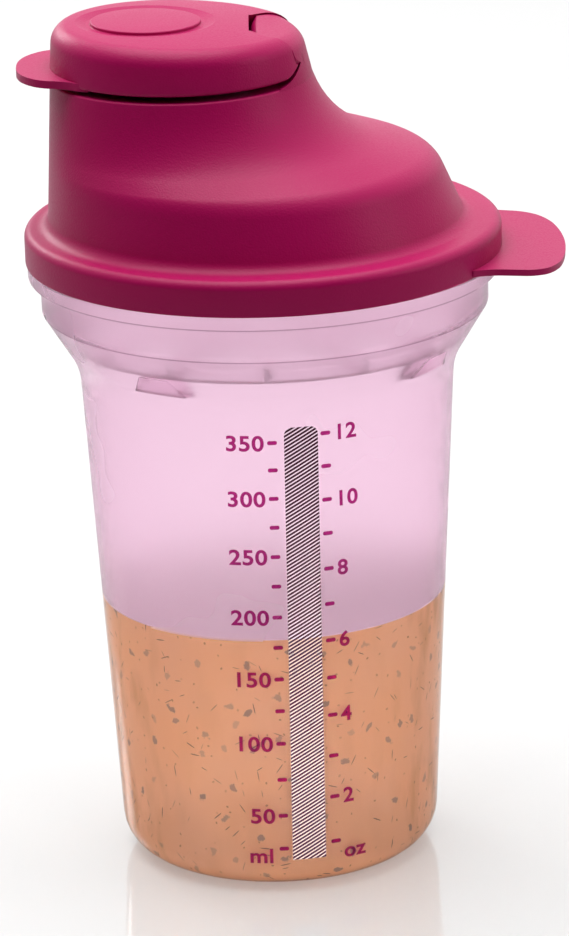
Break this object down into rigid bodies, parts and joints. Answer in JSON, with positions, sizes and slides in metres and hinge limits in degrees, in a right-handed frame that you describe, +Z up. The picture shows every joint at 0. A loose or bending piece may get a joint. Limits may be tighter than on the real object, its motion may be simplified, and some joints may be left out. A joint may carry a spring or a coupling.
{
  "type": "salad dressing shaker bottle",
  "caption": "Flared shaker beaker with a press-on lid, an off-centre pouring tower closed by a hinged flip cap, a loose mixing wheel on inner lugs and a part fill of dressing.",
  "frame": {"origin": "centre of the beaker's foot, on the surface it stands on", "axes": "+Z up along the beaker's axis, +X towards the lid's pull tab, -X towards the flip cap's thumb tab"},
  "size_m": [0.1098, 0.0966, 0.1758],
  "materials": {
    "beaker": "milky translucent",
    "dressing": "oily liquid with herbs",
    "mixing_insert": "satin",
    "lid": "satin with a fine grain",
    "flip_cap": "satin"
  },
  "bodies": {
    "beaker": {"beaker": "beaker", "dressing": "dressing"},
    "insert": {"mixing_insert": "mixing_insert"},
    "lid": {"lid": "lid"},
    "cap": {"flip_cap": "flip_cap"}
  },
  "joints": [
    {"name": "lid_lift", "type": "slide", "parent": "beaker", "child": "lid", "axis": [0, 0, 1], "range_m": [0, 0.09]},
    {"name": "insert_lift", "type": "slide", "parent": "beaker", "child": "insert", "axis": [0, 0, 1], "range_m": [0, 0.045]},
    {"name": "cap_hinge", "type": "hinge", "parent": "lid", "child": "cap", "pos_m": [0.004, 0, 0.1702], "axis": [0, 1, 0], "range_deg": [0, 110]}
  ],
  "couplings": [
    {"joint": "insert_lift", "follows": "lid_lift", "ratio": 0.5}
  ]
}
